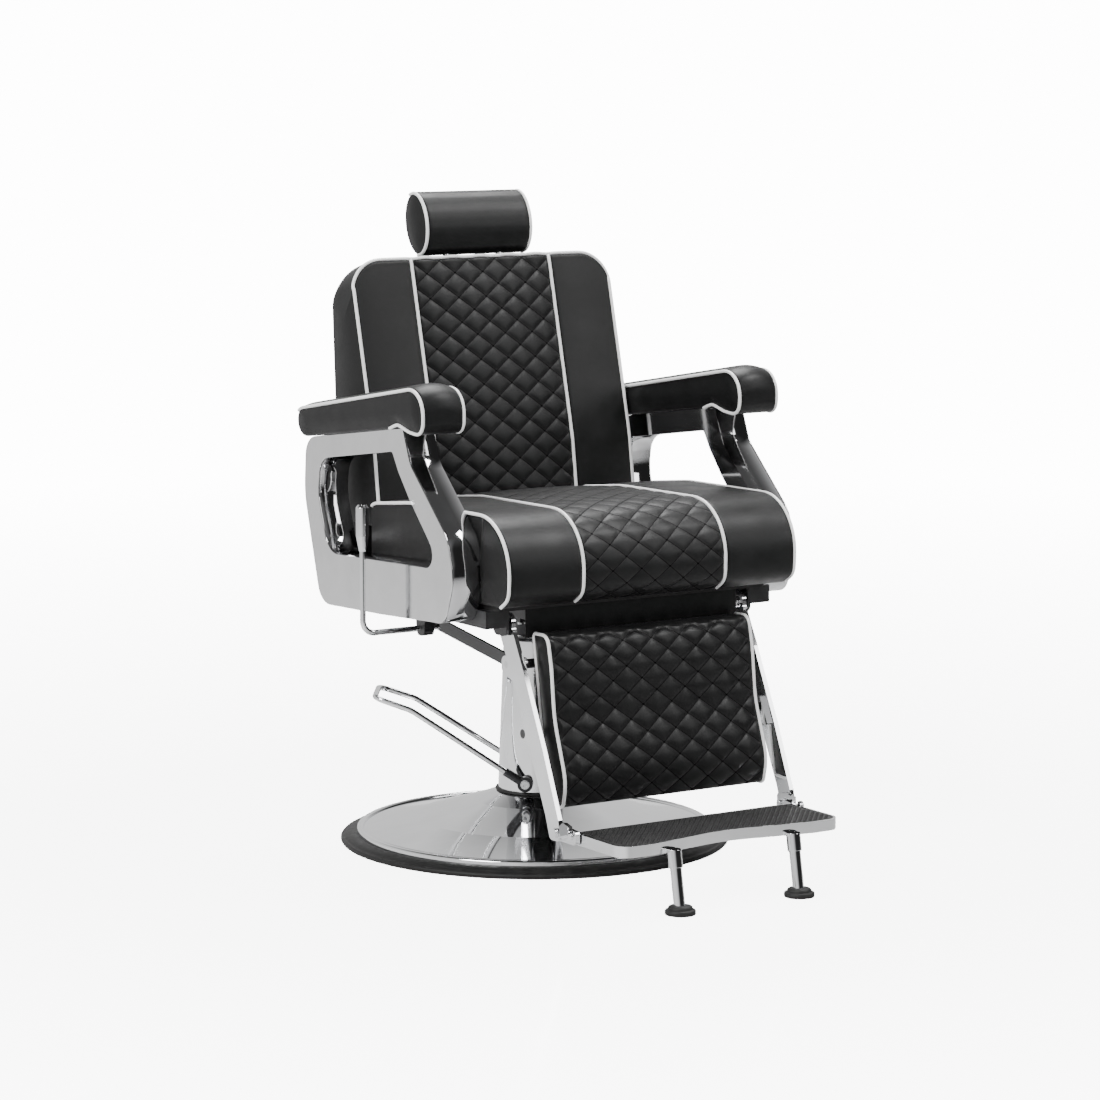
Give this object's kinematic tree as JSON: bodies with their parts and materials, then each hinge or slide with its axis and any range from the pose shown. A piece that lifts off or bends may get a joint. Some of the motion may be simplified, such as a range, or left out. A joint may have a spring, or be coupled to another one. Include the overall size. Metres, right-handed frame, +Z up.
{
  "type": "hydraulic barber chair",
  "caption": "Upholstered barber chair on a round pump base that lifts, swivels and reclines, with headrest, arm frames, quilted leg rest and flip-up footrest on feet.",
  "frame": {"origin": "centre of the round base, on the floor", "axes": "+Z up, the chair faces -Y, the sitter's right is -X"},
  "size_m": [0.768, 1, 1.1376],
  "materials": {
    "mirror_chrome": "polished",
    "stainless": "polished",
    "stainless_face": "satin",
    "black_leather": "satin",
    "white_piping": "gloss",
    "black_rubber": "matte",
    "black_steel": "satin",
    "cast_iron": "satin",
    "zinc_steel": "satin",
    "brass": "satin",
    "plywood": "matte"
  },
  "bodies": {
    "base": {"base_plate": "black_steel", "base_disc": "mirror_chrome", "base_rubber_ring": "black_rubber", "column_collar": "black_rubber", "column_cover": "mirror_chrome", "pump_body": "cast_iron", "pump_bolts": "zinc_steel", "ram_gland": "brass"},
    "pedal": {"pedal_shaft": "zinc_steel", "pedal_brackets": "cast_iron", "pedal_bolts": "zinc_steel", "pedal_loop": "mirror_chrome"},
    "ram": {"ram": "zinc_steel", "thrust_washer": "brass"},
    "seat": {"swivel_hub": "cast_iron", "mounting_plate": "black_steel", "mounting_bolts": "zinc_steel", "seat_under_frame": "black_steel", "right_side_rail": "black_steel", "left_side_rail": "black_steel", "seat_board": "plywood", "seat_cushion": "black_leather", "right_arm_frame": "stainless", "left_arm_frame": "stainless", "right_arm_face_plate": "stainless_face", "left_arm_face_plate": "stainless_face", "arm_bolts": "zinc_steel", "right_armrest_pad": "black_leather", "left_armrest_pad": "black_leather", "armrest_screws": "zinc_steel", "legrest_pivot_bolts": "mirror_chrome", "back_pivot_bolts": "zinc_steel", "lever_bracket": "black_steel"},
    "recline_lever": {"lever_rod": "mirror_chrome", "lever_grip": "mirror_chrome"},
    "lock_barrel": {"lock_cylinder": "black_steel"},
    "lock_rod": {"lock_rod": "zinc_steel"},
    "back": {"back_hinge_arms": "black_steel", "back_board": "plywood", "back_cushion": "black_leather", "back_panel": "black_leather", "headrest_sockets": "zinc_steel"},
    "headrest": {"headrest_bracket": "mirror_chrome", "headrest_pad": "black_leather"},
    "legrest": {"right_legrest_bar": "mirror_chrome", "left_legrest_bar": "mirror_chrome", "legrest_cross_tubes": "black_steel", "legrest_board": "plywood", "legrest_pad": "black_leather", "link_pins": "zinc_steel", "footrest_pivot_bolts": "mirror_chrome"},
    "links": {"link_bars": "black_steel"},
    "footrest": {"footrest_frame": "mirror_chrome", "footrest_mat": "black_rubber", "leg_sleeves": "mirror_chrome"},
    "right_leg": {"right_leg_tube": "mirror_chrome", "right_rubber_foot": "black_rubber"},
    "left_leg": {"left_leg_tube": "mirror_chrome", "left_rubber_foot": "black_rubber"}
  },
  "joints": [
    {"name": "pedal_hinge", "type": "hinge", "parent": "base", "child": "pedal", "pos_m": [-0.01244, 0.00839, 0.111], "axis": [-0.5592, -0.829, 0], "range_deg": [0, 20], "stiffness_Nm_per_rad": 20, "springref_deg": -11.46},
    {"name": "lift", "type": "slide", "parent": "base", "child": "ram", "axis": [0, 0, 1], "range_m": [0, 0.15]},
    {"name": "swivel", "type": "hinge", "parent": "ram", "child": "seat", "pos_m": [0, 0, 0.4], "axis": [0, 0, 1], "continuous": true},
    {"name": "back_recline", "type": "hinge", "parent": "seat", "child": "back", "pos_m": [0, 0.115, 0.5], "axis": [-1, 0, 0], "range_deg": [0, 40]},
    {"name": "headrest_slide", "type": "slide", "parent": "back", "child": "headrest", "axis": [0, 0.2588, 0.9659], "range_m": [0, 0.1]},
    {"name": "legrest_hinge", "type": "hinge", "parent": "seat", "child": "legrest", "pos_m": [0, -0.285, 0.442], "axis": [-1, 0, 0], "range_deg": [0, 40]},
    {"name": "link_hinge", "type": "hinge", "parent": "legrest", "child": "links", "pos_m": [0, -0.275, 0.372], "axis": [-1, 0, 0], "range_deg": [-40, 0]},
    {"name": "lock_hinge", "type": "hinge", "parent": "seat", "child": "lock_barrel", "pos_m": [0.12, -0.185, 0.428], "axis": [1, 0, 0], "range_deg": [0, 1.7]},
    {"name": "lock_slide", "type": "slide", "parent": "lock_barrel", "child": "lock_rod", "axis": [0, 1, 0.0065], "range_m": [-0.05, 0]},
    {"name": "lever_hinge", "type": "hinge", "parent": "seat", "child": "recline_lever", "pos_m": [-0.3, -0.079, 0.412], "axis": [-1, 0, 0], "range_deg": [0, 14], "stiffness_Nm_per_rad": 4, "springref_deg": -5.73},
    {"name": "footrest_hinge", "type": "hinge", "parent": "legrest", "child": "footrest", "pos_m": [0, -0.442, 0.115], "axis": [-1, 0, 0], "range_deg": [0, 80]},
    {"name": "right_leg_slide", "type": "slide", "parent": "footrest", "child": "right_leg", "axis": [0, -0.1797, -0.9837], "range_m": [0, 0.012]},
    {"name": "left_leg_slide", "type": "slide", "parent": "footrest", "child": "left_leg", "axis": [0, -0.1797, -0.9837], "range_m": [0, 0.012]}
  ],
  "couplings": [
    {"joint": "legrest_hinge", "follows": "back_recline", "ratio": 1},
    {"joint": "link_hinge", "follows": "back_recline", "ratio": -1},
    {"joint": "lock_hinge", "follows": "back_recline", "ratio": 0.04},
    {"joint": "lock_slide", "follows": "back_recline", "m_per_rad": -0.0684}
  ]
}
